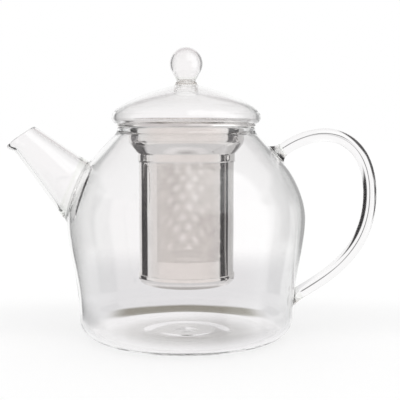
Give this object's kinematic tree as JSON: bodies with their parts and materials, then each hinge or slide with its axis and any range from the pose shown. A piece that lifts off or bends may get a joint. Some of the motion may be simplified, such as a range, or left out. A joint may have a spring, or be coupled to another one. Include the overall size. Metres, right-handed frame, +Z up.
{
  "type": "teapot",
  "caption": "Clear glass teapot with a hanging steel infuser in its mouth, a lift-off domed lid with a ball knob, a tapered spout and a loop handle.",
  "frame": {"origin": "centre of the pot's foot, on the pot's axis, in the plane that it stands on", "axes": "+Z up, +X to the handle, -X to the spout"},
  "size_m": [0.2218, 0.1436, 0.1749],
  "materials": {
    "clear_glass": "clear fire-polished borosilicate glass",
    "polished_steel": "polished stainless steel",
    "perforated_steel": "satin stainless steel sheet with micro-perforated windows"
  },
  "bodies": {
    "pot": {"glass_body": "clear_glass", "spout": "clear_glass", "spout_bead": "clear_glass", "handle": "clear_glass", "handle_top_pad": "clear_glass", "handle_low_pad": "clear_glass"},
    "infuser": {"infuser_collar": "polished_steel", "strainer_wall": "perforated_steel", "infuser_pan": "polished_steel"},
    "lid": {"lid_dome": "clear_glass", "lid_rim": "clear_glass", "knob_neck": "clear_glass", "knob_ball": "clear_glass"}
  },
  "joints": [
    {"name": "infuser_lift", "type": "slide", "parent": "pot", "child": "infuser", "axis": [0, 0, 1], "range_m": [0, 0.13]},
    {"name": "lid_lift", "type": "slide", "parent": "infuser", "child": "lid", "axis": [0, 0, 1], "range_m": [0, 0.06]}
  ]
}
